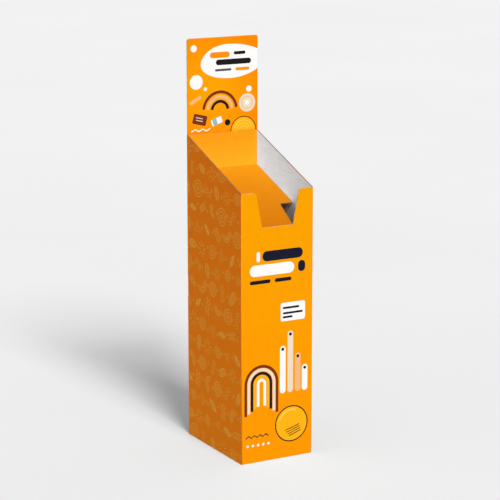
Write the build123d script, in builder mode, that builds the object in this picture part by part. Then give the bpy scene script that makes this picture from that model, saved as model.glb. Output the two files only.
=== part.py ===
from build123d import *
from math import atan2, cos, tan
import os

# Corrugated floor display: a sleeve with a sloping, notched mouth, a chute inside the mouth that carries
# the goods, a header card behind it, and a riser and base tray hidden inside.
# Frame: +Z up, origin on the floor under the middle of the stand, front panel towards -Y.

# ---------------------------------------------------------------- driving dimensions (mm)
fit_gap = 0.3  # clearance between two boards that lie against each other

# Sleeve: one printed sheet folded round four sides, glued with a flap inside the back panel
width = 300.0
depth = 425.0
front_height = 1015.0
back_height = 1170.0
sleeve_board = 4.0
fold_radius = 3.0
glue_flap_width = 32.0
glue_flap_taper = 12.0
glue_flap_end_gap = 8.0  # the flap stops this far from the sleeve's top edge and from the base tray

# Notch in the front panel
notch_depth = 131.0
notch_bottom_width = 129.0
notch_mouth_width = 180.0
notch_mouth_radius = 13.0
notch_root_radius = 2.0

# Slots and nicks cut through the two rear folds
lock_slot_bottom = 549.0
lock_slot_length = 83.0
nick_heights = (741.0, 982.0)
nick_length = 10.0
nick_width = 6.0

# Chute: back panel, ramp, tongue, front lip and side flanges, folded from one printed sheet
chute_board = 3.0
crease_radius = 0.5
ramp_front_setback = 142.5  # from the front of the stand to where the ramp's full width ends
tongue_root_width = 182.0
tongue_root_radius = 8.0
tongue_side_overlap = 2.0  # the tongue's front is this much wider than the notch, on each side
lip_depth = 45.0
flange_depth = 60.0
flange_rear_gap = 6.0

# Header card
header_board = 4.0
header_height = 360.0
header_corner_radius = 9.0
header_tongue_side_gap = 9.0  # between the header's tongue and the glue flap
header_tongue_depth = 150.0
header_tongue_radius = 15.0

# Riser: a folded U, open to the back, that carries the chute
riser_board = 4.0
riser_setback = 190.0  # from the front of the stand to the riser's cross panel
riser_fold_radius = 3.0
tab_end_gap = 1.0  # between a lock tab and the ends of its slot, and below the back panel's face

# Base tray
tray_board = 3.0
tray_wall_height = 60.0
tray_corner_gap = 1.0

# ---------------------------------------------------------------- shared geometry
front_face = -depth / 2
back_face = depth / 2
front_inside = front_face + sleeve_board
back_inside = back_face - sleeve_board
inside_half_width = width / 2 - sleeve_board
insert_half_width = inside_half_width - fit_gap  # outer half width of everything that goes into the sleeve

side_slope = atan2(back_height - front_height, depth - 2 * sleeve_board)
notch_bottom = front_height - notch_depth

# The goods slide on the chute's upper face, which is parallel to the sides' top edges
# and meets the front panel at the bottom of the notch. The chute's back panel stands in front of
# the header card and of the glue flap.
chute_front = front_inside + fit_gap
chute_back = back_inside - fit_gap - max(header_board, sleeve_board) - fit_gap - chute_board


def ramp_height(y):
    """Height of the ramp's upper face at a distance y along the depth."""
    return notch_bottom + (y - chute_front) * tan(side_slope)


ramp_front = front_face + ramp_front_setback
riser_front = front_face + riser_setback
riser_back = back_inside - sleeve_board - fit_gap  # clear of the glue flap

# ---------------------------------------------------------------- outer sleeve
with BuildPart() as outer_sleeve:
    with BuildSketch() as sleeve_section:
        Rectangle(width, depth)
        fillet(sleeve_section.vertices().sort_by(Axis((0, 0, 0), (1, 1, 0)))[:-1], fold_radius)
        Rectangle(2 * inside_half_width, depth - 2 * sleeve_board, mode=Mode.SUBTRACT)
    extrude(amount=back_height)

    # The right side folds into the glue flap, and the back panel's raw edge lies over that fold
    seam = Vector(width / 2, back_inside)
    with BuildSketch():
        with BuildLine():
            Polyline(
                (seam.X, seam.Y - fold_radius),
                (seam.X, seam.Y),
                (seam.X - fold_radius, seam.Y),
            )
            SagittaArc(
                (seam.X, seam.Y - fold_radius),
                (seam.X - fold_radius, seam.Y),
                0.15 * fold_radius,
            )
        make_face()
    extrude(amount=back_height, mode=Mode.SUBTRACT)
    flap_bottom = tray_wall_height + glue_flap_end_gap
    flap_top = back_height - glue_flap_end_gap
    with BuildSketch(Plane.XZ.offset(-back_inside)):
        with BuildLine():
            Polyline(
                (inside_half_width, flap_bottom),
                (inside_half_width, flap_top),
                (inside_half_width - glue_flap_width, flap_top - glue_flap_taper),
                (inside_half_width - glue_flap_width, flap_bottom + glue_flap_taper),
                close=True,
            )
        make_face()
    extrude(amount=sleeve_board)

    # Sloping top edges of the two sides, from fold to fold
    with BuildSketch(Plane.YZ):
        with BuildLine():
            Polyline(
                (front_face, back_height),
                (front_face, front_height),
                (front_inside, front_height),
                (back_inside, back_height),
                close=True,
            )
        make_face()
    extrude(amount=width, both=True, mode=Mode.SUBTRACT)

    # Notch
    with BuildSketch(Plane.XZ.offset(-front_inside)):
        with BuildLine():
            Polyline(
                (-notch_mouth_width / 2, front_height),
                (-notch_bottom_width / 2, notch_bottom),
                (notch_bottom_width / 2, notch_bottom),
                (notch_mouth_width / 2, front_height),
                close=True,
            )
        make_face()
    extrude(amount=sleeve_board, mode=Mode.SUBTRACT)
    across_front = outer_sleeve.edges().filter_by(Axis.Y).filter_by_position(
        Axis.X, -notch_mouth_width / 2 - 1, notch_mouth_width / 2 + 1
    )
    fillet(across_front.filter_by_position(Axis.Z, front_height - 1, front_height + 1), notch_mouth_radius)
    across_front = outer_sleeve.edges().filter_by(Axis.Y).filter_by_position(
        Axis.X, -notch_bottom_width / 2 - 1, notch_bottom_width / 2 + 1
    )
    fillet(across_front.filter_by_position(Axis.Z, notch_bottom - 1, notch_bottom + 1), notch_root_radius)

    # Lock slots and nicks through the rear folds, and the lock slot's way through the glue flap
    slot_width = sleeve_board + fit_gap + riser_board + fit_gap
    for side in (-1, 1):
        with Locations((side * width / 2, back_face, lock_slot_bottom)):
            Box(
                2 * slot_width, 2 * sleeve_board, lock_slot_length,
                align=(Align.CENTER, Align.CENTER, Align.MIN), mode=Mode.SUBTRACT,
            )
        with Locations([(side * width / 2, back_face, height) for height in nick_heights]):
            Box(2 * nick_width, 2 * sleeve_board, nick_length, mode=Mode.SUBTRACT)
    with Locations((inside_half_width, back_inside, lock_slot_bottom)):
        Box(
            slot_width - sleeve_board, sleeve_board, lock_slot_length,
            align=(Align.MAX, Align.MAX, Align.MIN), mode=Mode.SUBTRACT,
        )

# ---------------------------------------------------------------- chute
with BuildPart() as chute:
    # Back panel, ramp, tongue and lip as one bent sheet
    with BuildSketch(Plane.YZ):
        with BuildLine():
            FilletPolyline(
                (chute_back, back_height),
                (chute_back, ramp_height(chute_back)),
                (chute_front, notch_bottom),
                (chute_front, notch_bottom - lip_depth),
                radius=[crease_radius, crease_radius + chute_board],
            )
            offset(amount=chute_board, side=Side.LEFT)
        make_face()
    extrude(amount=insert_half_width, both=True)

    # In front of the ramp only the tongue is left, narrowing to the notch
    tongue_front_half = notch_bottom_width / 2 + tongue_side_overlap
    lip_back = chute_front + 2 * chute_board
    with BuildSketch(Plane.XY.offset(notch_bottom - lip_depth)) as beside_tongue:
        with BuildLine():
            Polyline(
                (insert_half_width, ramp_front),
                (tongue_root_width / 2, ramp_front),
                (tongue_front_half, lip_back),
                (tongue_front_half, chute_front),
                (insert_half_width, chute_front),
                close=True,
            )
        make_face()
        mirror(about=Plane.YZ)
        tongue_roots = beside_tongue.vertices().group_by(Axis.Y)[-1].filter_by_position(
            Axis.X, -tongue_root_width / 2 - 1, tongue_root_width / 2 + 1
        )
        fillet(tongue_roots, tongue_root_radius)
    extrude(amount=back_height, mode=Mode.SUBTRACT)

    # Side flanges, folded down along the sleeve's walls, with their front ends cut at 45 degrees
    flange_rear = chute_back - flange_rear_gap
    flange_drop = flange_depth / (1 + tan(side_slope))
    for side in (-1, 1):
        with BuildSketch(Plane.YZ.offset(side * insert_half_width)):
            with BuildLine():
                Polyline(
                    (ramp_front, ramp_height(ramp_front)),
                    (ramp_front + flange_drop, ramp_height(ramp_front) - flange_drop),
                    (flange_rear, ramp_height(flange_rear) - flange_depth),
                    (flange_rear, ramp_height(flange_rear)),
                    close=True,
                )
            make_face()
        extrude(amount=-side * chute_board)

# ---------------------------------------------------------------- header card
header_rear = back_inside - fit_gap
header_tongue_width = 2 * (inside_half_width - glue_flap_width - header_tongue_side_gap)
with BuildPart() as header_card:
    with BuildSketch(Plane.XZ.offset(-header_rear)) as header_outline:
        with Locations((0, back_height)):
            Rectangle(width, header_height, align=(Align.CENTER, Align.MIN))
        fillet(header_outline.vertices().group_by(Axis.Y)[-1], header_corner_radius)
        with Locations((0, back_height)):
            Rectangle(header_tongue_width, header_tongue_depth, align=(Align.CENTER, Align.MAX))
        fillet(header_outline.vertices().group_by(Axis.Y)[0], header_tongue_radius)
    extrude(amount=header_board)

# ---------------------------------------------------------------- riser
with BuildPart() as inner_riser:
    riser_length = riser_back - riser_front
    with BuildSketch(Plane.XY.offset(tray_board)) as riser_section:
        with Locations((0, riser_front)):
            Rectangle(2 * insert_half_width, riser_length, align=(Align.CENTER, Align.MIN))
        fillet(riser_section.vertices().group_by(Axis.Y)[0], riser_fold_radius)
        with Locations((0, riser_front + riser_board)):
            Rectangle(
                2 * (insert_half_width - riser_board), riser_length,
                align=(Align.CENTER, Align.MIN), mode=Mode.SUBTRACT,
            )
    extrude(amount=back_height - tray_board)

    # The cross panel reaches up between the wings to the ramp's underside
    ramp_underside = ramp_height(riser_front) - chute_board / cos(side_slope)
    with Locations((0, riser_front, ramp_underside - fit_gap)):
        Box(
            2 * (insert_half_width - riser_board), riser_board, back_height,
            align=(Align.CENTER, Align.MIN, Align.MIN), mode=Mode.SUBTRACT,
        )
    # The wings stop under the chute's flanges, which stand on them
    wing_drop = flange_depth + fit_gap
    for side in (-1, 1):
        with BuildSketch(Plane.YZ.offset(side * (insert_half_width - riser_board))):
            with BuildLine():
                Polyline(
                    (riser_front, ramp_height(riser_front) - wing_drop),
                    (riser_back, ramp_height(riser_back) - wing_drop),
                    (riser_back, back_height),
                    (riser_front, back_height),
                    close=True,
                )
            make_face()
        extrude(amount=side * riser_board, mode=Mode.SUBTRACT)
        # Lock tab at the wing's rear edge
        with Locations((side * insert_half_width, riser_back, lock_slot_bottom + tab_end_gap)):
            Box(
                riser_board, back_face - tab_end_gap - riser_back, lock_slot_length - 2 * tab_end_gap,
                align=(Align.MAX if side > 0 else Align.MIN, Align.MIN, Align.MIN),
            )

# ---------------------------------------------------------------- base tray
with BuildPart() as base_tray:
    tray_half_depth = back_inside - fit_gap
    with BuildSketch(Plane.YZ):
        with BuildLine():
            FilletPolyline(
                (-tray_half_depth, tray_wall_height),
                (-tray_half_depth, 0),
                (tray_half_depth, 0),
                (tray_half_depth, tray_wall_height),
                radius=crease_radius + tray_board,
            )
            offset(amount=tray_board, side=Side.LEFT)
        make_face()
    extrude(amount=insert_half_width, both=True)

    # Side walls stand only in front of the riser, and keep it from sliding forward
    side_wall_front = -tray_half_depth + tray_board + tray_corner_gap
    side_wall_back = riser_front - tray_corner_gap
    for side in (-1, 1):
        with Locations((side * insert_half_width, side_wall_front, 0)):
            Box(
                tray_board, side_wall_back - side_wall_front, tray_wall_height,
                align=(Align.MAX if side > 0 else Align.MIN, Align.MIN, Align.MIN),
            )
    low_sides = base_tray.edges().filter_by(Axis.Y).group_by(Axis.Z)[0]
    fillet(low_sides.group_by(Axis.X)[0] + low_sides.group_by(Axis.X)[-1], crease_radius)

# ---------------------------------------------------------------- export
os.makedirs("parts", exist_ok=True)
outer_sleeve.part.label = "outer_sleeve"
export_step(outer_sleeve.part, "parts/outer_sleeve.step")
chute.part.label = "chute"
export_step(chute.part, "parts/chute.step")
header_card.part.label = "header_card"
export_step(header_card.part, "parts/header_card.step")
inner_riser.part.label = "inner_riser"
export_step(inner_riser.part, "parts/inner_riser.step")
base_tray.part.label = "base_tray"
export_step(base_tray.part, "parts/base_tray.step")
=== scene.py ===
"""Looks of the cardboard display stand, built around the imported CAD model.

Metres, +Z up, front panel towards -Y. The sleeve, chute and header card are single-wall board:
an outer liner, a fluted middle and an inner liner, with the CAD's outlines and folds. The print is cut into
the outer liner's faces as regions with their own inks.
"""
import math
import random

import bmesh
import bpy
from mathutils import Matrix, Vector
from mathutils.geometry import delaunay_2d_cdt


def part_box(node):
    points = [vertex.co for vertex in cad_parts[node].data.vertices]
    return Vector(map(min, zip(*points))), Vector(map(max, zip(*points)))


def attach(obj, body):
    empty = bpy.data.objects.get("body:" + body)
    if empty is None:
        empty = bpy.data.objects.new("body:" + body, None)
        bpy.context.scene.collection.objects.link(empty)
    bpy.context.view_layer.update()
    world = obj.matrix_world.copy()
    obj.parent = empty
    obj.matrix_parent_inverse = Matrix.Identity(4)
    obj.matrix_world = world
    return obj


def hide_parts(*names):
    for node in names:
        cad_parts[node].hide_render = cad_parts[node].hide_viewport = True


MM = 0.001

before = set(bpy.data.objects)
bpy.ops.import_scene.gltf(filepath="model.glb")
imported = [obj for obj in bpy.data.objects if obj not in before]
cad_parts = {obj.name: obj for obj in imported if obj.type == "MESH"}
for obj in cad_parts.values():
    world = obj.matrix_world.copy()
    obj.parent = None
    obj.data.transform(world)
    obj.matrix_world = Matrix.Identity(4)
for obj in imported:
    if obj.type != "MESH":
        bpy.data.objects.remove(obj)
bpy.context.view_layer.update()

# ---------------------------------------------------------------- sizes, from the frame and as in the CAD
_, SLEEVE_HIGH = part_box("outer_sleeve")
CHUTE_LOW, CHUTE_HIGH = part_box("chute")
HEADER_LOW, HEADER_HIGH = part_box("header_card")
_, TRAY_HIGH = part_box("base_tray")

HALF_WIDTH = SLEEVE_HIGH.x
HALF_DEPTH = SLEEVE_HIGH.y
BACK_HEIGHT = SLEEVE_HIGH.z
FRONT_HEIGHT = 1015 * MM
SLEEVE_BOARD = 4 * MM
FOLD_RADIUS = 3 * MM
INSIDE_X = HALF_WIDTH - SLEEVE_BOARD
INSIDE_Y = HALF_DEPTH - SLEEVE_BOARD
GLUE_FLAP = 32 * MM
GLUE_FLAP_TAPER = 12 * MM
GLUE_FLAP_END_GAP = 8 * MM
NOTCH_DEPTH = 131 * MM
NOTCH_BOTTOM_HALF = 64.5 * MM
NOTCH_MOUTH_HALF = 90 * MM
NOTCH_MOUTH_RADIUS = 13 * MM
NOTCH_ROOT_RADIUS = 2 * MM
NOTCH_BOTTOM = FRONT_HEIGHT - NOTCH_DEPTH
LOCK_SLOT = (549 * MM, 632 * MM)
NICKS = ((736 * MM, 746 * MM), (977 * MM, 987 * MM))
SLOT_WIDTH = 8.6 * MM
NICK_WIDTH = 6 * MM
SLOPE = (BACK_HEIGHT - FRONT_HEIGHT) / (2 * INSIDE_Y)

CHUTE_BOARD = 3 * MM
CHUTE_HALF = CHUTE_HIGH.x
CHUTE_FRONT = CHUTE_LOW.y
CHUTE_BACK = CHUTE_HIGH.y - CHUTE_BOARD
CREASE_RADIUS = 0.5 * MM
RAMP_FRONT = -HALF_DEPTH + 142.5 * MM
TONGUE_ROOT_HALF = 91 * MM
TONGUE_ROOT_RADIUS = 8 * MM
TONGUE_FRONT_HALF = 66.5 * MM
FLANGE_DEPTH = 60 * MM
FLANGE_REAR = CHUTE_BACK - 6 * MM

HEADER_CORNER = 9 * MM
HEADER_TONGUE_HALF = 105 * MM
HEADER_TONGUE_CORNER = 15 * MM

LINER = 0.35 * MM
FLUTE_SHEET = 0.22 * MM
FLUTE_PITCH = 7.6 * MM
SKIN = 0.05 * MM  # the board's faces lie this far inside the CAD's
FLUTE_RECESS = 0.4 * MM  # the fluted middle ends this far inside the liners' cut edges
FLUTE_STEP = FLUTE_PITCH / 8  # between two stations of the fluted middle
FOLD_FADE = 4 * MM  # the waves are pressed flat over this distance towards a fold
DECIMALS = 7  # heights on a sheet are matched to this many decimals
TOUCH = 10 ** -DECIMALS


# ---------------------------------------------------------------- colour and material helpers
def linear(r, g, b):
    """A screen colour, 0 to 255, as the linear colour that Blender's shaders use."""
    def one(c):
        c /= 255
        return c / 12.92 if c <= 0.04045 else ((c + 0.055) / 1.055) ** 2.4
    return (one(r), one(g), one(b), 1)


class Nodes:
    """Shorthand for building one material's node tree."""

    def __init__(self, name):
        self.material = bpy.data.materials.new(name)
        self.material.use_nodes = True
        self.tree = self.material.node_tree
        self.shader = self.tree.nodes["Principled BSDF"]
        self.position = self.add("ShaderNodeTexCoord").outputs["Object"]

    def add(self, kind, **values):
        node = self.tree.nodes.new(kind)
        for name, value in values.items():
            setattr(node, name, value)
        return node

    def link(self, output, socket):
        self.tree.links.new(output, socket)

    def math(self, operation, a, b=0.0):
        node = self.add("ShaderNodeMath", operation=operation)
        for socket, value in zip(node.inputs, (a, b)):
            if isinstance(value, (int, float)):
                socket.default_value = value
            else:
                self.link(value, socket)
        return node.outputs[0]

    def axis(self, letter):
        node = self.add("ShaderNodeSeparateXYZ")
        self.link(self.position, node.inputs[0])
        return node.outputs[letter]

    def noise(self, scale, detail=3.0, roughness=0.5, stretch=(1, 1, 1), turn=0.0):
        """Noise in the object's own space, first turned about X and then stretched."""
        mapping = self.add("ShaderNodeMapping")
        mapping.inputs["Rotation"].default_value = (turn, 0, 0)
        mapping.inputs["Scale"].default_value = stretch
        self.link(self.position, mapping.inputs["Vector"])
        node = self.add("ShaderNodeTexNoise")
        node.inputs["Scale"].default_value = scale
        node.inputs["Detail"].default_value = detail
        node.inputs["Roughness"].default_value = roughness
        self.link(mapping.outputs[0], node.inputs["Vector"])
        return node.outputs["Fac"]

    def remap(self, value, low, high, to_low, to_high):
        node = self.add("ShaderNodeMapRange")
        self.link(value, node.inputs["Value"])
        for name, number in zip(("From Min", "From Max", "To Min", "To Max"), (low, high, to_low, to_high)):
            node.inputs[name].default_value = number
        return node.outputs["Result"]

    def mix(self, factor, a, b, blend="MIX"):
        node = self.add("ShaderNodeMix", data_type="RGBA", blend_type=blend)
        for socket, value in zip((node.inputs["Factor"], node.inputs["A"], node.inputs["B"]), (factor, a, b)):
            self.set_colour_input(socket, value)
        return node.outputs["Result"]

    def set_colour_input(self, socket, value):
        if isinstance(value, (int, float, tuple)):
            socket.default_value = value
        else:
            self.link(value, socket)

    def colour(self, value):
        self.set_colour_input(self.shader.inputs["Base Color"], value)

    def bump(self, height, distance, strength=1.0):
        node = self.add("ShaderNodeBump")
        node.inputs["Strength"].default_value = strength
        node.inputs["Distance"].default_value = distance
        self.link(height, node.inputs["Height"])
        self.link(node.outputs[0], self.shader.inputs["Normal"])


def washboard(n, across):
    """Faint ridges where the liner follows the flutes, -0.5 to 0.5, from a coordinate across them."""
    waves = n.math("SINE", n.math("MULTIPLY", across, math.tau / FLUTE_PITCH))
    return n.math("MULTIPLY", waves, 0.5)


def paper_bump(n, across, ridge):
    """Bump of paper tooth, felt marks and washboard together. ridge is the washboard's share."""
    tooth = n.math("MULTIPLY", n.noise(2600, 2.0), 0.35)
    felt = n.math("MULTIPLY", n.noise(420, 3.0), 0.5)
    ridges = n.math("MULTIPLY", washboard(n, across), ridge)
    n.bump(n.math("ADD", n.math("ADD", tooth, felt), ridges), 0.05 * MM, 0.8)


def printed_material(name, tone, across="X", roughness=0.42, half=None, thrown=(172, 171, 169)):
    """Satin litho print on a liner, with ink mottle and paper grain.

    half is how far from the middle the panel's folds lie, across it: the ink is rubbed there. thrown is the
    nearly neutral colour that the print throws on its neighbours.
    """
    n = Nodes(name)
    mottle = n.remap(n.noise(38, 4.0, 0.6), 0.3, 0.7, 0.975, 1.02)
    grain = n.remap(n.noise(1900, 2.0, 0.5), 0.25, 0.75, 0.97, 1.03)
    shade = n.add("ShaderNodeCombineColor")
    for socket in shade.inputs:
        n.link(n.math("MULTIPLY", mottle, grain), socket)
    inked = n.mix(1.0, tone(n), shade.outputs[0], "MULTIPLY")
    if half:
        near = n.remap(n.math("ABSOLUTE", n.axis(across)), half - 2.5 * MM, half, 0, 1)
        rubbed = n.math("MULTIPLY", near, n.remap(n.noise(160, 4.0, 0.7), 0.45, 0.7, 0.08, 0.5))
        inked = n.mix(rubbed, inked, linear(255, 206, 140))
    bounced = n.add("ShaderNodeLightPath").outputs["Is Diffuse Ray"]
    n.colour(n.mix(n.math("MULTIPLY", bounced, 0.94), inked, linear(*thrown)))
    uneven = n.remap(n.noise(240, 3.0), 0.3, 0.7, roughness - 0.05, roughness + 0.07)
    n.link(uneven, n.shader.inputs["Roughness"])
    n.shader.inputs["Specular IOR Level"].default_value = 0.02
    paper_bump(n, n.axis(across), 0.9)
    return n.material


def liner_material(name, colour, fibre, contrast=1.0):
    """Bare liner paper: cloudy formation, fine fibres, scuffs along the ramp's slope and darker specks."""
    n = Nodes(name)
    cloud = n.remap(n.noise(26, 5.0, 0.62), 0.3, 0.7, 0, 1)
    base = n.mix(n.math("MULTIPLY", cloud, 0.5 * contrast), linear(*colour), linear(*fibre))
    strands = n.remap(n.noise(900, 3.0, 0.6, (1, 1, 0.12)), 0.35, 0.75, 0, 1)
    base = n.mix(n.math("MULTIPLY", strands, 0.35 * contrast), base, linear(*fibre))
    scuffs = n.remap(n.noise(140, 4.0, 0.65, (1, 0.09, 1), -math.atan(SLOPE)), 0.48, 0.72, 0, 1)
    base = n.mix(n.math("MULTIPLY", scuffs, 0.7 * contrast), base, linear(*[c * 0.94 for c in fibre]))
    specks = n.remap(n.noise(1500, 1.0), 0.70, 0.78, 0, 0.5 * contrast)
    n.colour(n.mix(specks, base, linear(*[c * 0.7 for c in fibre])))
    n.link(n.remap(n.noise(300, 2.0), 0.3, 0.7, 0.78, 0.92), n.shader.inputs["Roughness"])
    n.shader.inputs["Specular IOR Level"].default_value = 0.25
    paper_bump(n, n.axis("X"), 1.2)
    return n.material


def ink_material(name, colour):
    """One flat ink, with the same paper showing through it."""
    deeper = [c * 0.97 for c in colour]

    def tone(n):
        return n.mix(n.noise(60, 3.0), linear(*colour), linear(*deeper))

    return printed_material(name, tone, roughness=0.4)


# ---------------------------------------------------------------- geometry of a bent sheet
def bent_line(corners, radii, marks=None, steps=5):
    """Stations (point, left normal, leg) along a 2-D line with rounded corners.

    marks holds, for a leg's number, distances from that leg's start where a station is wanted as well.
    A station on the fold after leg k has leg number k + 0.5.
    """
    corners = [Vector(c) for c in corners]
    legs = len(corners) - 1
    ways = [(corners[k + 1] - corners[k]).normalized() for k in range(legs)]
    cuts = [0.0]
    for k in range(1, legs):
        turn = abs(ways[k - 1].angle_signed(ways[k]))
        cuts.append(radii[k - 1] * math.tan(turn / 2))
    cuts.append(0.0)
    stations = []
    for k in range(legs):
        start, way = corners[k], ways[k]
        normal = Vector((-way.y, way.x))
        low, high = cuts[k], (corners[k + 1] - start).length - cuts[k + 1]
        wanted = [m for m in (marks or {}).get(k, ()) if low + 1e-6 < m < high - 1e-6]
        stations += [(start + way * m, normal, k) for m in sorted({low, high, *wanted})]
        if k + 1 < legs:
            turn = -way.angle_signed(ways[k + 1])
            sign = 1 if turn > 0 else -1
            centre = start + way * high + normal * radii[k] * sign
            for step in range(1, steps):
                turned = Matrix.Rotation(turn * step / steps, 2) @ normal
                stations.append((centre - turned * radii[k] * sign, turned, k + 0.5))
    return stations


SURFACE, RAW = 0, 1  # a sheet's material numbers: its two faces, and its cut edges


def sheet_mesh(name, lines, spans, lift):
    """Closed mesh of a sheet.

    lines are (front point, rear point) of each station, in the profile's plane. spans[i] lists what the sheet
    covers between stations i and i+1, as (low, high, low after, high after). lift turns a profile point and a
    height into a place in the frame.
    """
    levels = [set() for _ in lines]
    for i, row in enumerate(spans):
        for low, high, low_after, high_after in row:
            levels[i] |= {round(low, DECIMALS), round(high, DECIMALS)}
            levels[i + 1] |= {round(low_after, DECIMALS), round(high_after, DECIMALS)}
    bm = bmesh.new()
    made = {}

    def vertex(i, face, height):
        key = (i, face, round(height, DECIMALS))
        if key not in made:
            made[key] = bm.verts.new(lift(lines[i][face], key[2]))
        return made[key]

    def between(i, low, high):
        return [h for h in sorted(levels[i]) if low - TOUCH <= h <= high + TOUCH]

    def polygon(material, *keys):
        corners = [vertex(*key) for key in keys]
        distinct = [v for k, v in enumerate(corners) if v is not corners[k - 1]]
        if len(set(distinct)) > 2:
            bm.faces.new(distinct).material_index = material

    for i, row in enumerate(spans):
        for low, high, low_after, high_after in row:
            left = between(i, round(low, DECIMALS), round(high, DECIMALS))
            right = between(i + 1, round(low_after, DECIMALS), round(high_after, DECIMALS))
            for face in (0, 1):
                ring = [(i, face, h) for h in reversed(left)] + [(i + 1, face, h) for h in right]
                polygon(SURFACE, *ring)
            for here, after in ((low, low_after), (high, high_after)):
                polygon(RAW, (i, 0, here), (i + 1, 0, after), (i + 1, 1, after), (i, 1, here))
    for i in range(len(lines)):
        ladder = sorted(levels[i])
        before = [(s[2], s[3]) for s in spans[i - 1]] if i > 0 else []
        after = [(s[0], s[1]) for s in spans[i]] if i < len(spans) else []
        for low, high in zip(ladder, ladder[1:]):
            middle = (low + high) / 2
            covered = [any(a < middle < b for a, b in group) for group in (before, after)]
            if covered[0] != covered[1]:
                polygon(RAW, (i, 0, low), (i, 0, high), (i, 1, high), (i, 1, low))
    bmesh.ops.recalc_face_normals(bm, faces=bm.faces)
    mesh = bpy.data.meshes.new(name)
    bm.to_mesh(mesh)
    bm.free()
    return mesh


def piece(name, mesh, slot, *materials):
    """An object of the stand, riding on its only body."""
    made = bpy.data.objects.new(name, mesh)
    for material in materials:
        mesh.materials.append(material)
    bpy.context.scene.collection.objects.link(made)
    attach(made, "root")
    return made


def upright(point, height):
    """Profile in the floor plan, height along Z."""
    return (point.x, point.y, height)


def sideways(point, height):
    """Profile in the YZ plane, height along X."""
    return (height, point.x, point.y)


def flute_marks(corners):
    """Evenly spaced marks for the fluted middle, on every leg of a line."""
    marks = {}
    for k in range(len(corners) - 1):
        length = (Vector(corners[k + 1]) - Vector(corners[k])).length
        count = round(length / FLUTE_STEP)
        marks[k] = [length * m / count for m in range(1, count)]
    return marks


def wavy_lines(stations, board):
    """Front and rear points of a board's fluted middle along its stations, pressed flat at the folds."""
    amplitude = (board - SKIN) / 2 - LINER - FLUTE_SHEET / 2
    distances = [0.0]
    for (before, _, _), (point, _, _) in zip(stations, stations[1:]):
        distances.append(distances[-1] + (point - before).length)
    folds = [distance for distance, (_, _, leg) in zip(distances, stations) if leg != int(leg)]
    lines = []
    for distance, (point, normal, _) in zip(distances, stations):
        near = min((abs(distance - fold) for fold in folds), default=FOLD_FADE)
        height = amplitude * min(1.0, near / FOLD_FADE) * math.sin(math.tau * distance / FLUTE_PITCH)
        front, rear = height + FLUTE_SHEET / 2, height - FLUTE_SHEET / 2
        lines.append((point + normal * front, point + normal * rear))
    return lines


# ---------------------------------------------------------------- outer sleeve
FLAP, RIGHT, FRONT, LEFT, BACK = range(5)  # the legs of the sleeve's plan, in order
SIDE_PRINT_WITH_PAINTED_SHADE, BACK_PRINT = 2, 3  # its outer liner's other material numbers


def notch_outline():
    """(x, height) along the front panel's top edge, from its middle to its right corner."""
    corners = [(0, NOTCH_BOTTOM), (NOTCH_BOTTOM_HALF, NOTCH_BOTTOM), (NOTCH_MOUTH_HALF, FRONT_HEIGHT),
               (HALF_WIDTH, FRONT_HEIGHT)]
    return [s[0] for s in bent_line(corners, (NOTCH_ROOT_RADIUS, NOTCH_MOUTH_RADIUS), steps=6)]


NOTCH = notch_outline()


def notch_height(x):
    """Height of the front panel at a distance x from its middle."""
    x = abs(x)
    for a, b in zip(NOTCH, NOTCH[1:]):
        if a.x <= x <= b.x:
            return a.y + (b.y - a.y) * (x - a.x) / (b.x - a.x)
    return FRONT_HEIGHT


def sleeve_span(point, leg):
    """Lowest and highest point of the sleeve's sheet at a place on its plan."""
    if leg == FLAP:
        taper = GLUE_FLAP_TAPER * min(1, max(0, (INSIDE_X - point.x) / GLUE_FLAP))
        return TRAY_HIGH.z + GLUE_FLAP_END_GAP + taper, BACK_HEIGHT - GLUE_FLAP_END_GAP - taper
    if leg == FRONT:
        return 0.0, notch_height(point.x)
    along = min(INSIDE_Y, max(-INSIDE_Y, point.y))
    return 0.0, FRONT_HEIGHT + (along + INSIDE_Y) * SLOPE


def sleeve_holes(point, leg):
    """Heights cut away at a place on the plan: the lock slots and nicks through the rear folds."""
    if leg == FLAP:
        return [LOCK_SLOT] if point.x > HALF_WIDTH - SLOT_WIDTH else []
    if leg < LEFT or (leg == LEFT and point.y < INSIDE_Y):
        return []
    from_side = HALF_WIDTH - abs(point.x)
    slots = [LOCK_SLOT] if from_side < SLOT_WIDTH else []
    nicks = list(NICKS) if from_side < NICK_WIDTH else []
    return slots + nicks


def sleeve_spans(stations, recess=0.0):
    """What the sleeve's sheet covers between each two stations, with its free ends drawn in by recess."""
    rows = []
    for (point, _, leg), (after, _, leg_after) in zip(stations, stations[1:]):
        between = leg_after if leg == int(leg) else leg
        low, high = sleeve_span(point, between)
        low_after, high_after = sleeve_span(after, between)
        cuts = sorted(sleeve_holes((point + after) / 2, between))
        row, bottom, bottom_after = [], low + recess, low_after + recess
        for a, b in cuts:
            row.append((bottom, a - recess, bottom_after, a - recess))
            bottom = bottom_after = b + recess
        row.append((bottom, high - recess, bottom_after, high_after - recess))
        rows.append(row)
    return rows


def sleeve_marks(inset):
    """Stations where the sleeve's outline changes, on a line that lies inset inside the outer faces."""
    right_length = 2 * HALF_DEPTH - SLEEVE_BOARD - 2 * inset
    start_x = HALF_WIDTH - inset
    notch_x = [p.x for p in NOTCH[:-1]]
    front = [start_x - x for x in notch_x] + [start_x + x for x in notch_x]
    return {
        FLAP: [HALF_WIDTH - SLOT_WIDTH - (INSIDE_X - GLUE_FLAP), GLUE_FLAP],
        RIGHT: [SLEEVE_BOARD, right_length - SLEEVE_BOARD + inset],
        FRONT: front,
        LEFT: [SLEEVE_BOARD - inset, 2 * HALF_DEPTH - inset - SLEEVE_BOARD],
        BACK: [SLOT_WIDTH - inset, NICK_WIDTH - inset, 2 * HALF_WIDTH - inset - NICK_WIDTH,
               2 * HALF_WIDTH - inset - SLOT_WIDTH],
    }


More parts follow.
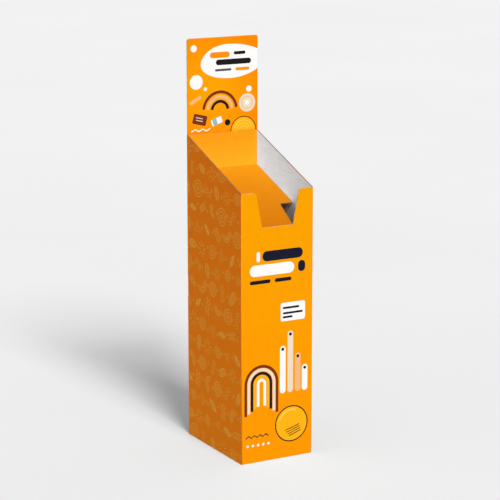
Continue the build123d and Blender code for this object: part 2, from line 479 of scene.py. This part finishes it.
def sleeve_corners(inset):
    """Plan of the sleeve's sheet at a depth inset below its outer face, from glue flap to seam."""
    x, y = HALF_WIDTH - inset, HALF_DEPTH - inset
    flap_y = INSIDE_Y - inset
    return [(INSIDE_X - GLUE_FLAP, flap_y), (x, flap_y), (x, -y), (-x, -y), (-x, y), (HALF_WIDTH - SKIN, y)]


def sleeve_layer(name, inset, radius, slot, *materials):
    """One liner of the sleeve, whose outer side lies inset below the sheet's outer face."""
    stations = bent_line(sleeve_corners(inset), [radius] * 4, sleeve_marks(inset))
    lines = [(point, point - normal * LINER) for point, normal, _ in stations]
    mesh = sheet_mesh(name, lines, sleeve_spans(stations), upright)
    return piece(name, mesh, slot, *materials)


def build_sleeve(front, side, back, white, fluting):
    """The three layers of the sleeve's board. Returns the outer one, which takes the print."""
    outer = sleeve_layer("sleeve_outer_liner", SKIN, FOLD_RADIUS, "printed_board", front, fluting, side, back)
    for face in outer.data.polygons:
        if face.material_index == SURFACE:
            # Faces along X take the side material, whose deeper orange is painted shade.
            if abs(face.normal.x) > abs(face.normal.y):
                face.material_index = SIDE_PRINT_WITH_PAINTED_SHADE
            elif face.center.y > INSIDE_Y - SLEEVE_BOARD:
                face.material_index = BACK_PRINT
            face.use_smooth = 0.1 < abs(face.normal.x) < 0.99
    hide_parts("outer_sleeve")
    inner_radius, middle_radius = LINER + 0.3 * MM, 1.5 * MM
    sleeve_layer("sleeve_inner_liner", SLEEVE_BOARD - LINER, inner_radius, "white_liner", white, fluting)
    corners = sleeve_corners((SLEEVE_BOARD + SKIN) / 2)
    stations = bent_line(corners, [middle_radius] * 4, flute_marks(corners), steps=3)
    lines = wavy_lines(stations, SLEEVE_BOARD)
    mesh = sheet_mesh("sleeve_flutes", lines, sleeve_spans(stations, FLUTE_RECESS), upright)
    piece("sleeve_flutes", mesh, "fluting", fluting, fluting)
    return outer


# ---------------------------------------------------------------- chute
def ramp_height(y):
    return NOTCH_BOTTOM + (y - CHUTE_FRONT) * SLOPE


def chute_half_width(y):
    """Half width of the chute's sheet at a distance y along the depth."""
    if y > RAMP_FRONT - 1e-6:
        return CHUTE_HALF
    lip_back = CHUTE_FRONT + 2 * CHUTE_BOARD
    share = max(0.0, (y - lip_back) / (RAMP_FRONT - lip_back))
    half = TONGUE_FRONT_HALF + (TONGUE_ROOT_HALF - TONGUE_FRONT_HALF) * share
    into_root = TONGUE_ROOT_RADIUS - (RAMP_FRONT - y)
    if into_root > 0:
        half += TONGUE_ROOT_RADIUS - math.sqrt(TONGUE_ROOT_RADIUS ** 2 - into_root ** 2)
    return half


CHUTE_CORNERS = [
    (CHUTE_BACK, BACK_HEIGHT),
    (CHUTE_BACK, ramp_height(CHUTE_BACK)),
    (CHUTE_FRONT, NOTCH_BOTTOM),
    (CHUTE_FRONT, CHUTE_LOW.z),
]
CHUTE_RADII = (CREASE_RADIUS, CREASE_RADIUS + CHUTE_BOARD)
RAMP_LEG = 1
RAMP_PRINT = 2  # material number


def chute_spans(stations, recess=0.0):
    """What the chute's sheet covers between each two stations, with its edges drawn in by recess."""
    inward = 1e-5  # the width jumps at the ramp's front, so it is read just inside each stretch
    rows = []
    for (point, _, _), (after, _, _) in zip(stations, stations[1:]):
        half = chute_half_width(point.x - inward) - recess
        place = after.x + inward if after.x < point.x - inward else after.x
        half_after = chute_half_width(place) - recess
        rows.append([(-half, half, -half_after, half_after)])
    return rows


def ramp_marks():
    """Marks on the ramp's leg where the sheet's outline changes."""
    slant = math.sqrt(1 + SLOPE ** 2)
    angles = [math.radians(a) for a in (0, 20, 40, 60, 80, 90)]
    root = [RAMP_FRONT - TONGUE_ROOT_RADIUS * (1 - math.cos(a)) for a in angles]
    places = root + [CHUTE_FRONT + 2 * CHUTE_BOARD]
    return [(CHUTE_BACK - y) * slant for y in places]


def build_chute(back, ramp, white, fluting):
    """The three layers of the chute's board, and its two flanges."""
    stations = bent_line(CHUTE_CORNERS, CHUTE_RADII, {RAMP_LEG: ramp_marks()})
    layers = (("chute_printed_liner", SKIN, [back, fluting, ramp], "printed_board"),
              ("chute_rear_liner", CHUTE_BOARD - LINER, [white, fluting], "white_liner"))
    for name, depth, materials, slot in layers:
        lines = [(point + normal * depth, point + normal * (depth + LINER)) for point, normal, _ in stations]
        made = piece(name, sheet_mesh(name, lines, chute_spans(stations), sideways), slot, *materials)
        if slot == "printed_board":
            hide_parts("chute")
            for face in made.data.polygons:
                if face.material_index == SURFACE and face.center.y < CHUTE_BACK - 1 * MM:
                    face.material_index = RAMP_PRINT
    marks = flute_marks(CHUTE_CORNERS)
    marks[RAMP_LEG] += ramp_marks()
    dense = bent_line(CHUTE_CORNERS, CHUTE_RADII, marks, steps=3)
    depth = (CHUTE_BOARD + SKIN) / 2
    middle = [(point + normal * depth, normal, leg) for point, normal, leg in dense]
    lines = wavy_lines(middle, CHUTE_BOARD)
    mesh = sheet_mesh("chute_flutes", lines, chute_spans(dense, FLUTE_RECESS), sideways)
    piece("chute_flutes", mesh, "fluting", fluting, fluting)
    for side, word in ((-1, "left"), (1, "right")):
        build_flange(side, word, white, fluting)


def build_flange(side, word, white, fluting):
    """Flange that hangs from the ramp's edge along the sleeve's wall, its front end cut at 45 degrees."""
    drop = FLANGE_DEPTH / (1 + SLOPE)
    thickness = CHUTE_BOARD - 2 * SKIN
    face_x = side * (CHUTE_HALF - SKIN)
    top = CHUTE_BOARD + SKIN
    places = (RAMP_FRONT + top, RAMP_FRONT + drop, FLANGE_REAR)
    lines = [(Vector((y, face_x)), Vector((y, face_x - side * thickness))) for y in places]

    def roof(y):
        return ramp_height(y) - CHUTE_BOARD * math.sqrt(1 + SLOPE ** 2)

    low = [max(ramp_height(y) - FLANGE_DEPTH, ramp_height(RAMP_FRONT) - (y - RAMP_FRONT)) for y in places]
    low[0] = min(low[0], roof(places[0]) - 0.01 * MM)
    spans = [[(low[k], roof(places[k]), low[k + 1], roof(places[k + 1]))] for k in (0, 1)]
    name = f"chute_flange_{word}"
    mesh = sheet_mesh(name, lines, spans, lambda point, height: (point.y, point.x, height))
    piece(name, mesh, "white_liner", white, fluting)


# ---------------------------------------------------------------- header card
def header_span(x, in_tongue):
    """Lowest and highest point of the header card at a distance x from its middle."""
    x = abs(x)
    high = HEADER_HIGH.z
    into_corner = x - (HALF_WIDTH - HEADER_CORNER)
    if into_corner > 0:
        high -= HEADER_CORNER - math.sqrt(max(0, HEADER_CORNER ** 2 - into_corner ** 2))
    low = BACK_HEIGHT
    if in_tongue:
        into_corner = x - (HEADER_TONGUE_HALF - HEADER_TONGUE_CORNER)
        low = HEADER_LOW.z
        if into_corner > 0:
            low += HEADER_TONGUE_CORNER - math.sqrt(max(0, HEADER_TONGUE_CORNER ** 2 - into_corner ** 2))
    return low, high


def header_places():
    """Distances from the middle where the header's outline changes."""
    angles = [math.radians(a) for a in range(0, 91, 15)]
    top = [HALF_WIDTH - HEADER_CORNER * (1 - math.sin(a)) for a in angles]
    tongue = [HEADER_TONGUE_HALF - HEADER_TONGUE_CORNER * (1 - math.sin(a)) for a in angles]
    return sorted({0.0, *top, *tongue})


def header_spans(places, recess=0.0):
    """What the header card covers between each two places, with its edges drawn in by recess."""
    rows = []
    for x, after in zip(places, places[1:]):
        in_tongue = abs(x + after) / 2 < HEADER_TONGUE_HALF
        low, high = header_span(x, in_tongue)
        low_after, high_after = header_span(after, in_tongue)
        rows.append([(low + recess, high - recess, low_after + recess, high_after - recess)])
    return rows


def build_header(printed, plain, fluting):
    """The three layers of the header card's board. Returns the printed one."""
    half = header_places()
    places = [-x for x in reversed(half[1:])] + half
    front, back = HEADER_LOW.y, HEADER_HIGH.y
    for name, y, material, slot in (("header_printed_liner", front + SKIN, printed, "printed_board"),
                                    ("header_rear_liner", back - LINER, plain, "white_liner")):
        lines = [(Vector((x, y)), Vector((x, y + LINER))) for x in places]
        made = piece(name, sheet_mesh(name, lines, header_spans(places), upright), slot, material, fluting)
        if slot == "printed_board":
            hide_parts("header_card")
            printed_layer = made
    board = back - front
    count = round(2 * HALF_WIDTH / FLUTE_STEP)
    fluted = 2 * (HALF_WIDTH - FLUTE_RECESS)
    dense = [-HALF_WIDTH + FLUTE_RECESS + fluted * k / count for k in range(count + 1)]
    stations = [(Vector((x, front + (board + SKIN) / 2)), Vector((0, 1)), 0) for x in dense]
    lines = wavy_lines(stations, board)
    mesh = sheet_mesh("header_flutes", lines, header_spans(dense, FLUTE_RECESS), upright)
    piece("header_flutes", mesh, "fluting", fluting, fluting)
    return printed_layer


# ---------------------------------------------------------------- materials
def stand_materials():
    """Every material of the stand, by a short name."""
    def blend(letter, low, high, colour_low, colour_high):
        def tone(n):
            share = n.remap(n.axis(letter), low, high, 0, 1)
            return n.mix(share, linear(*colour_low), linear(*colour_high))
        return tone

    def around_centre(n):
        """Tone of the header: lighter around a point left of its middle."""
        distance = n.add("ShaderNodeVectorMath", operation="DISTANCE")
        n.link(n.position, distance.inputs[0])
        distance.inputs[1].default_value = (-0.05, HEADER_LOW.y, 1.34)
        share = n.remap(distance.outputs["Value"], 0.05, 0.24, 0, 1)
        return n.mix(share, linear(255, 160, 2), linear(254, 136, 0))

    front = blend("Z", 0.05, 0.95, (252, 149, 1), (246, 160, 0))
    # Painted shade: the side panels' orange is deeper than the front's, a shaded copy of it for the faces
    # turned away from the key light. It is also a little lighter towards the bottom.
    side = blend("Z", 0.1, 1.1, (255, 137, 1), (253, 131, 0))
    back = blend("Z", 0.05, 1.1, (250, 150, 2), (250, 156, 2))
    chute_back = blend("Z", 1.04, 1.17, (255, 165, 31), (250, 154, 20))
    # The ramp's orange is darker than the chute's back, and grows darker towards the front.
    ramp = blend("Y", -0.20, 0.20, (214, 121, 1), (231, 143, 7))
    pale = (228, 230, 232)  # thrown by the prints around the white inner walls
    return {
        "front": printed_material("print_front", front, half=HALF_WIDTH),
        "side": printed_material("print_side", side, across="Y", half=HALF_DEPTH),
        "back": printed_material("print_back", back, half=HALF_WIDTH),
        "header": printed_material("print_header", around_centre, thrown=pale),
        "chute_back": printed_material("print_chute_back", chute_back, across="Z", thrown=pale),
        "ramp": printed_material("print_ramp", ramp, across="Y", thrown=pale),
        "white": liner_material("white_liner", (254, 253, 252), (220, 217, 214), contrast=0.5),
        "kraft": liner_material("kraft_liner", (186, 148, 104), (158, 120, 80)),
        "fluting": liner_material("fluting", (184, 112, 46), (150, 88, 36)),
    }


# ---------------------------------------------------------------- print
INK_COLOURS = {
    "white": (253, 250, 248), "cream": (240, 222, 196), "black": (30, 27, 30), "navy": (28, 30, 46),
    "grey": (92, 90, 94), "orange": (252, 146, 8), "amber": (255, 180, 22), "yellow": (255, 205, 70),
    "brown": (122, 52, 26), "peach": (246, 186, 128), "blue": (150, 186, 204), "line": (255, 186, 72),
}


class Panel:
    """A flat printed face that looks along axis, and the artwork on it.

    Its coordinates are X or Y, and Z. shape and line take millimetres, with heights measured from base.
    """

    def __init__(self, axis, plane, outline, base=0):
        self.axis = axis
        self.plane = plane
        self.outline = [Vector(p) for p in outline]
        self.base = base
        self.artwork = []

    def flat(self, point):
        return Vector((point.x if self.axis == "y" else point.y, point.z))

    def place(self, point):
        return (point.x, self.plane, point.y) if self.axis == "y" else (self.plane, point.x, point.y)

    def holds(self, face):
        """True for a face of the sheet that lies on this panel."""
        faces_out = abs(getattr(face.normal, self.axis)) > 0.999
        distance = abs(getattr(face.calc_center_median(), self.axis) - self.plane)
        return faces_out and distance < SKIN / 5 and face.material_index != RAW

    def clipped(self, polygon):
        """The part of a polygon that lies inside the outline."""
        for a, b in zip(self.outline, self.outline[1:] + self.outline[:1]):
            kept = []
            for k, point in enumerate(polygon):
                before = polygon[k - 1]
                side, side_before = ((b - a).cross(p - a) for p in (point, before))
                if (side < 0) != (side_before < 0):
                    kept.append(before.lerp(point, side_before / (side_before - side)))
                if side >= 0:
                    kept.append(point)
            polygon = kept
            if len(polygon) < 3:
                return []
        return polygon

    def lay(self, ink, layer, polygon):
        """Add a filled outline. A higher layer prints over a lower one."""
        polygon = self.clipped([Vector(p) for p in polygon])
        if polygon:
            self.artwork.append((layer, ink, [Vector((round(p.x, 6), round(p.y, 6))) for p in polygon]))

    def stroke(self, ink, layer, points, width, closed=False):
        """A line of even width through the points."""
        points = [Vector(p) for p in points]
        count = len(points)
        edges = []
        for k, point in enumerate(points):
            before = points[k - 1] if k or closed else point
            after = points[(k + 1) % count] if k + 1 < count or closed else point
            way = (after - before).normalized()
            edges.append((point + way.orthogonal() * width / 2, point - way.orthogonal() * width / 2))
        for a, b in zip(edges, edges[1:] + edges[:1] if closed else edges[1:]):
            self.lay(ink, layer, [a[0], a[1], b[1], b[0]])

    def millimetres(self, points):
        return [Vector((p[0], p[1] + self.base)) * MM for p in points]

    def shape(self, ink, layer, points):
        self.lay(ink, layer, self.millimetres(points))

    def line(self, ink, layer, points, width, closed=False):
        self.stroke(ink, layer, self.millimetres(points), width * MM, closed)

    def print_on(self, made, inks):
        """Cut the artwork into a piece's face, each region with the material of the ink on top there."""
        bm = bmesh.new()
        bm.from_mesh(made.data)
        old = [face for face in bm.faces if self.holds(face)]
        ground = old[0].material_index
        border = border_loop(old)
        outline = [self.flat(vertex.co) for vertex in border]
        points, edges, cells = [], [], {}
        for polygon in [outline] + [shape[2] for shape in self.artwork]:
            first, count = len(points), len(polygon)
            points += polygon
            edges += [(first + k, first + (k + 1) % count) for k in range(count)]
        for shape in self.artwork:
            for cell in cells_around(shape[2]):
                cells.setdefault(cell, []).append(shape)
        whole_hull, merged, with_sources = 0, 0.02 * MM, True
        cut = delaunay_2d_cdt(points, edges, [], whole_hull, merged, with_sources)
        corners, parts, sources = cut[0], cut[2], cut[3]
        bmesh.ops.delete(bm, geom=old, context="FACES")
        vertices = []
        for corner, origins in zip(corners, sources):
            shared = [border[k] for k in origins if k < len(border)]
            vertices.append(shared[0] if shared else bm.verts.new(self.place(corner)))
        for part in parts:
            middle = sum((corners[k] for k in part), Vector((0, 0))) / len(part)
            if not encloses(outline, middle):
                continue
            shapes = [shape for shape in cells.get(cell_of(middle), ()) if encloses(shape[2], middle)]
            face = bm.faces.new([vertices[k] for k in part])
            face.material_index = ground
            if shapes:
                _, ink, _ = max(shapes, key=lambda shape: shape[0])
                face.material_index = material_number(made, inks[ink])
        bmesh.ops.recalc_face_normals(bm, faces=bm.faces)
        bm.to_mesh(made.data)
        bm.free()


CELL = 20 * MM  # size of the grid that sorts the artwork by place


def cell_of(point):
    return math.floor(point.x / CELL), math.floor(point.y / CELL)


def cells_around(polygon):
    """The cells of a square grid that a polygon's box covers."""
    low = cell_of(Vector((min(p.x for p in polygon), min(p.y for p in polygon))))
    high = cell_of(Vector((max(p.x for p in polygon), max(p.y for p in polygon))))
    return [(x, y) for x in range(low[0], high[0] + 1) for y in range(low[1], high[1] + 1)]


def encloses(polygon, point):
    """True if the point lies inside the polygon."""
    inside = False
    before = polygon[-1]
    for corner in polygon:
        if (corner.y > point.y) != (before.y > point.y):
            crossing = before.x + (point.y - before.y) * (corner.x - before.x) / (corner.y - before.y)
            inside ^= crossing > point.x
        before = corner
    return inside


def border_loop(faces):
    """The vertices around a patch of faces, in order. A list keeps the edges in the same order each run."""
    patch = set(faces)
    edges = [edge for face in faces for edge in face.edges if sum(f in patch for f in edge.link_faces) == 1]
    joined = {}
    for edge in edges:
        for vertex in edge.verts:
            joined.setdefault(vertex, []).append(edge.other_vert(vertex))
    start = min(joined, key=lambda v: v.index)
    loop, following = [start], joined[start][0]
    while following is not start:
        loop.append(following)
        following = next(v for v in joined[following] if v is not loop[-2])
    return loop


def material_number(made, material):
    """The piece's slot number of a material, added when it isn't there yet."""
    names = [m.name for m in made.data.materials]
    if material.name not in names:
        made.data.materials.append(material)
        names.append(material.name)
    return names.index(material.name)


def arc(x, y, radius, start=0, end=360, radius_y=None, steps=None):
    """Points along an ellipse's arc, angles in degrees."""
    steps = steps or max(6, int(abs(end - start) / 9))
    radius_y = radius_y or radius
    points = []
    for k in range(steps + (end - start != 360)):
        angle = math.radians(start + (end - start) * k / steps)
        points.append(Vector((x, y)) + Vector((radius * math.cos(angle), radius_y * math.sin(angle))))
    return points


def bar(x, y, width, height, radius=None, turn=0):
    """Outline of a rounded rectangle around its middle."""
    radius = min(width, height) / 2 if radius is None else radius
    tilt = Matrix.Rotation(math.radians(turn), 2)
    points = []
    for k, (sx, sy) in enumerate(((1, 1), (-1, 1), (-1, -1), (1, -1))):
        middle = Vector((sx * (width / 2 - radius), sy * (height / 2 - radius)))
        corner = arc(0, 0, radius, 90 * k, 90 * k + 90, steps=6)
        points += [Vector((x, y)) + tilt @ (middle + Vector(p)) for p in corner]
    return points


EDGE_GAP = 0.3 * MM  # artwork stops this far inside a panel's outline


def print_header():
    """White cloud with plain bars, discs, and simple tilted shapes below."""
    edge = HALF_WIDTH - EDGE_GAP
    low, high = BACK_HEIGHT + EDGE_GAP, HEADER_HIGH.z - HEADER_CORNER
    outline = [(-edge, low), (edge, low), (edge, high), (-edge, high)]
    panel = Panel("y", HEADER_LOW.y + SKIN, outline, base=round(BACK_HEIGHT / MM))
    shape, line = panel.shape, panel.line

    cloud = []
    for angle in (math.tau * k / 72 for k in range(72)):
        across = math.cos(angle) * (136 + 8 * math.sin(2 * angle))
        rise = math.sin(angle) * (64 - 7 * math.cos(angle))
        cloud.append(Vector((44, 268)) + Vector((across, rise)))
    shape("white", 1, cloud)
    for ink, x, y, width, height in (("orange", -12, 293, 84, 22), ("black", 72, 297, 50, 12),
                                     ("black", 46, 265, 150, 21), ("grey", 2, 236, 70, 9),
                                     ("orange", 84, 236, 60, 12)):
        shape(ink, 2, bar(x, y, width, height))
    for x, y, radius in ((-122, 322, 13), (-112, 196, 27), (112, 158, 12), (-74, 168, 7)):
        shape("white", 1, arc(x, y, radius))
    shape("cream", 1, arc(104, 106, 35))
    line("peach", 2, arc(104, 106, 23), 4, True)
    shape("white", 3, arc(104, 106, 9))
    for k, ink in enumerate(("black", "peach", "brown")):
        line(ink, 1, arc(-12, 84, 34 + 18 * k, 6, 174), 11)
    shape("peach", 1, bar(-116, 128, 54, 13, turn=28))
    shape("brown", 1, bar(-98, 54, 58, 38, 5, turn=-14))
    for rise in (0, 10):
        line("cream", 2, [(-114, 54 + rise), (-86, 47 + rise)], 3)
    shape("white", 1, bar(-26, 44, 46, 25, 3, turn=18))
    shape("blue", 2, bar(-34, 41.4, 18, 25, 2, turn=18))
    shape("black", 1, arc(20, 36, 12))
    shape("amber", 1, arc(88, 0, 54, 0, 180))
    line("black", 2, arc(88, 0, 54, 0, 180), 3.4)
    for k in range(3):
        line("yellow", 2, arc(88, 0, 40 - 11 * k, 20, 160), 4)
    line("white", 1, [(-134 + 16 * k, 10 + 9 * (k % 2)) for k in range(6)], 4)
    return panel


def print_front():
    """Plain bars above, and arches, columns and a sun below."""
    edge, high = HALF_WIDTH - 2 * FOLD_RADIUS, NOTCH_BOTTOM - EDGE_GAP
    outline = [(-edge, EDGE_GAP), (edge, EDGE_GAP), (edge, high), (-edge, high)]
    panel = Panel("y", -HALF_DEPTH + SKIN, outline)
    shape, line = panel.shape, panel.line

    for ink, x, y, width, height in (("navy", 22, 778, 170, 38), ("white", -80, 778, 14, 38),
                                     ("white", -22, 727, 186, 42), ("navy", 102, 727, 30, 42),
                                     ("black", -72, 684, 86, 14), ("black", 24, 684, 70, 14)):
        shape(ink, 1, bar(x, y, width, height))
    shape("white", 1, bar(66, 560, 104, 70, 9))
    for x, y, width in ((58, 575, 70), (66, 555, 84), (44, 540, 42)):
        shape("navy", 2, bar(x, y, width, 8))
    low = 250
    for x, high, ink in ((24, 432, "white"), (56, 486, "cream"), (88, 398, "peach"), (118, 350, "white")):
        shape(ink, 1, bar(x, (low + high) / 2, 24, high - low))
        shape("black", 2, arc(x, high - 13, 6))
    for k, ink in enumerate(("brown", "cream", "black", "amber", "white")):
        line(ink, 1, arc(-66, 300, 66 - 13 * k, 0, 180), 11)
        for side in (-1, 1):
            x = -66 + side * (66 - 13 * k)
            line(ink, 1, [(x, 300), (x, 182 + 8 * k)], 11)
    shape("amber", 1, arc(62, 128, 68))
    line("black", 2, arc(62, 128, 68), 4.5, True)
    line("yellow", 2, arc(62, 128, 54, 70, 160), 7)
    for k in range(4):
        line("black", 2, [(34 + 6 * k, 104 - 8 * k), (96 + 2 * k, 122 - 8 * k)], 3.2)
    line("black", 1, [(-132 + 12 * k, 96 + 9 * (k % 2)) for k in range(9)], 4.5)
    for k in range(5):
        shape("white", 1, arc(-124 + 22 * k, 66, 5))
    return panel


def motif(kind, size):
    """Strokes of one small drawing around (0, 0): lists of points, and True where the line is closed."""
    def at(angle, share):
        return math.cos(angle) * size * share, math.sin(angle) * size * share

    if kind == "rings":
        return [(arc(0, 0, size), True), (arc(0, 0, size * 0.62), True), (arc(0, 0, size * 0.2), True)]
    if kind == "leaf":
        steps = [k / 8 for k in range(17)]
        left = [(size * (t - 1), size * 0.42 * math.sin(math.pi * t / 2)) for t in steps]
        right = [(x, -y) for x, y in left]
        veins = [([(size * x, 0), (size * (x + 0.22), size * y)], False)
                 for x in (-0.6, -0.25, 0.1, 0.42) for y in (-0.26, 0.26)]
        stalk = [(-size * 1.25, 0), (size, 0)]
        return [(left, False), (right, False), (stalk, False)] + veins
    if kind == "arches":
        return [(arc(0, -size * 0.5, size * r, 0, 180), False) for r in (1, 0.72, 0.44)]
    if kind == "zigzag":
        return [([(size * (0.4 * k - 1), size * (0.25 if k % 2 else -0.25) + rise) for k in range(6)], False)
                for rise in (-size * 0.25, size * 0.25)]
    if kind == "hatched":
        hatches = []
        for x in (-0.6, -0.3, 0, 0.3, 0.6):
            reach = size * 0.45 * math.sqrt(1 - x * x)
            hatches.append(([(size * x, -reach), (size * x, reach)], False))
        return [(arc(0, 0, size, radius_y=size * 0.5), True)] + hatches
    if kind == "star":
        angles = [math.tau * k / 8 for k in range(8)]
        return [([at(angle, 0.35), at(angle, 1)], False) for angle in angles]
    if kind == "wave":
        return [([(size * (k / 12 - 1), size * 0.22 * math.sin(k * 0.8) + rise) for k in range(25)], False)
                for rise in (-size * 0.3, size * 0.3)]
    if kind == "triangle":
        angles = [math.tau * (k + 0.75) / 3 for k in range(3)]
        return [([at(angle, share) for angle in angles], True) for share in (0.9, 0.45)]
    spiral = [(math.cos(k * 0.5) * size * k / 32, math.sin(k * 0.5) * size * k / 32) for k in range(2, 33)]
    return [(spiral, False)]


def print_side(side, seed):
    """All-over pattern of small outline drawings, lighter than the ground, on a side panel."""
    low, high = -INSIDE_Y + 3 * EDGE_GAP, INSIDE_Y - FOLD_RADIUS - 2 * EDGE_GAP
    panel = Panel("x", side * (HALF_WIDTH - SKIN),
                  [(low, EDGE_GAP), (high, EDGE_GAP), (high, BACK_HEIGHT - 3 * EDGE_GAP),
                   (low, FRONT_HEIGHT - 3 * EDGE_GAP)])
    chance = random.Random(seed)
    kinds = ("rings", "leaf", "arches", "zigzag", "hatched", "star", "wave", "triangle", "spiral")
    cell_y, cell_z = 78 * MM, 74 * MM
    previous = []
    for row in range(17):
        for column in range(7):
            kind = chance.choice([k for k in kinds if k not in previous[-8:]])
            previous.append(kind)
            size = chance.uniform(23, 33) * MM
            middle = Vector((low + cell_y * (column - 0.2 + 0.5 * (row % 2)) + chance.uniform(-6, 6) * MM,
                             cell_z * (row + 0.3) + chance.uniform(-6, 6) * MM))
            tilt = Matrix.Rotation(chance.uniform(0, math.tau), 2)
            for points, closed in motif(kind, size):
                panel.stroke("line", 1, [middle + tilt @ Vector(p) for p in points], 3.3 * MM, closed)
            dot = middle + Vector((cell_y * 0.5, chance.uniform(-8, 8) * MM))
            panel.stroke("line", 1, arc(dot.x, dot.y, chance.uniform(3, 5) * MM, steps=12), 2.8 * MM, True)
    return panel


def print_artwork(sleeve, header):
    """Print the header, the front and the two side panels."""
    inks = {name: ink_material(f"ink_{name}", colour) for name, colour in INK_COLOURS.items()}
    print_header().print_on(header, inks)
    for panel in (print_front(), print_side(-1, 11), print_side(1, 23)):
        panel.print_on(sleeve, inks)


# ---------------------------------------------------------------- floor, light and camera
FLOOR_HALF = 60
FLOOR_DROP = 0.4 * MM  # keeps the floor clear of the stand's foot
SUN_STRENGTH, SUN_SPREAD = 2.53, 22
SUN_AZIMUTH, SUN_ELEVATION = -6.5, 41
CAMERA_LENS = 138.65
CAMERA_AZIMUTH, CAMERA_ELEVATION = -29.017, 12.718
CAMERA_DISTANCE = 7.187
CAMERA_TARGET = (0.0036, 0, 0.7539)


def outward(azimuth, elevation):
    """Direction from the stand, both angles in degrees, azimuth from the front."""
    azimuth, elevation = math.radians(azimuth), math.radians(elevation)
    level = math.cos(elevation)
    return Vector((math.sin(azimuth) * level, -math.cos(azimuth) * level, math.sin(elevation)))


def build_floor():
    """Pale floor that keeps the shadow. It is lighter to the camera than to the stand, and to the camera it
    glows a little more towards the back and the right, as painted light.
    """
    mesh = bpy.data.meshes.new("floor")
    corners = [(x * FLOOR_HALF, y * FLOOR_HALF, 0) for x, y in ((-1, -1), (1, -1), (1, 1), (-1, 1))]
    mesh.from_pydata(corners, [], [(0, 1, 2, 3)])
    ground = bpy.data.objects.new("floor", mesh)
    ground.location.z = -FLOOR_DROP
    bpy.context.scene.collection.objects.link(ground)
    n = Nodes("floor")
    seen = n.add("ShaderNodeLightPath").outputs["Is Camera Ray"]
    clouds = n.remap(n.noise(0.5, 2.0), 0.35, 0.65, 0, 1)
    cloudy = n.mix(clouds, linear(253, 253, 253), linear(255, 255, 255))
    n.colour(n.mix(seen, linear(214, 214, 215), cloudy))
    n.shader.inputs["Roughness"].default_value = 0.9
    n.shader.inputs["Specular IOR Level"].default_value = 0.1
    n.shader.inputs["Emission Color"].default_value = (1, 1, 1, 1)
    # Painted light: a faint glow seen only by the camera, growing towards the back and the right.
    painted_floor_glow = n.remap(n.math("ADD", n.axis("Y"), n.axis("X")), -1, 9, 0.0, 0.035)
    n.link(n.math("MULTIPLY", seen, painted_floor_glow), n.shader.inputs["Emission Strength"])
    mesh.materials.append(n.material)


def build_world():
    """Soft grey light all round, with a paler backdrop where it is seen, mirrored or seen through."""
    world = bpy.data.worlds.new("studio")
    world.use_nodes = True
    bpy.context.scene.world = world
    tree = world.node_tree
    path = tree.nodes.new("ShaderNodeLightPath")
    shown = path.outputs["Is Camera Ray"]
    for ray in ("Is Glossy Ray", "Is Transmission Ray"):
        either = tree.nodes.new("ShaderNodeMath")
        either.operation = "MAXIMUM"
        tree.links.new(shown, either.inputs[0])
        tree.links.new(path.outputs[ray], either.inputs[1])
        shown = either.outputs[0]
    tint = tree.nodes.new("ShaderNodeMix")
    tint.data_type = "RGBA"
    tree.links.new(shown, tint.inputs["Factor"])
    tint.inputs["A"].default_value = (0.33, 0.33, 0.33, 1)
    tint.inputs["B"].default_value = linear(239, 239, 240)
    tree.links.new(tint.outputs["Result"], tree.nodes["Background"].inputs["Color"])


def build_sun():
    """Broad key light from the front."""
    lamp = bpy.data.lights.new("key", "SUN")
    lamp.energy = SUN_STRENGTH
    lamp.angle = math.radians(SUN_SPREAD)
    key = bpy.data.objects.new("key", lamp)
    key.rotation_mode = "QUATERNION"
    key.rotation_quaternion = outward(SUN_AZIMUTH, SUN_ELEVATION).to_track_quat("Z", "Y")
    bpy.context.scene.collection.objects.link(key)


def build_camera():
    """Long lens at the stand's front left, slightly above it."""
    lens = bpy.data.cameras.new("camera")
    lens.lens = CAMERA_LENS
    lens.sensor_width = 36
    camera = bpy.data.objects.new("camera", lens)
    away = outward(CAMERA_AZIMUTH, CAMERA_ELEVATION)
    camera.location = Vector(CAMERA_TARGET) + away * CAMERA_DISTANCE
    camera.rotation_mode = "QUATERNION"
    camera.rotation_quaternion = (-away).to_track_quat("-Z", "Y")
    bpy.context.scene.collection.objects.link(camera)
    bpy.context.scene.camera = camera
    bpy.context.scene.view_settings.view_transform = "Standard"


# ---------------------------------------------------------------- the stand
paint = stand_materials()
sleeve = build_sleeve(paint["front"], paint["side"], paint["back"], paint["white"], paint["fluting"])
build_chute(paint["chute_back"], paint["ramp"], paint["white"], paint["fluting"])
header = build_header(paint["header"], paint["white"], paint["fluting"])
print_artwork(sleeve, header)
for node in ("inner_riser", "base_tray"):
    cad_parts[node].data.materials.clear()
    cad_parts[node].data.materials.append(paint["kraft"])
build_floor()
build_world()
build_sun()
build_camera()
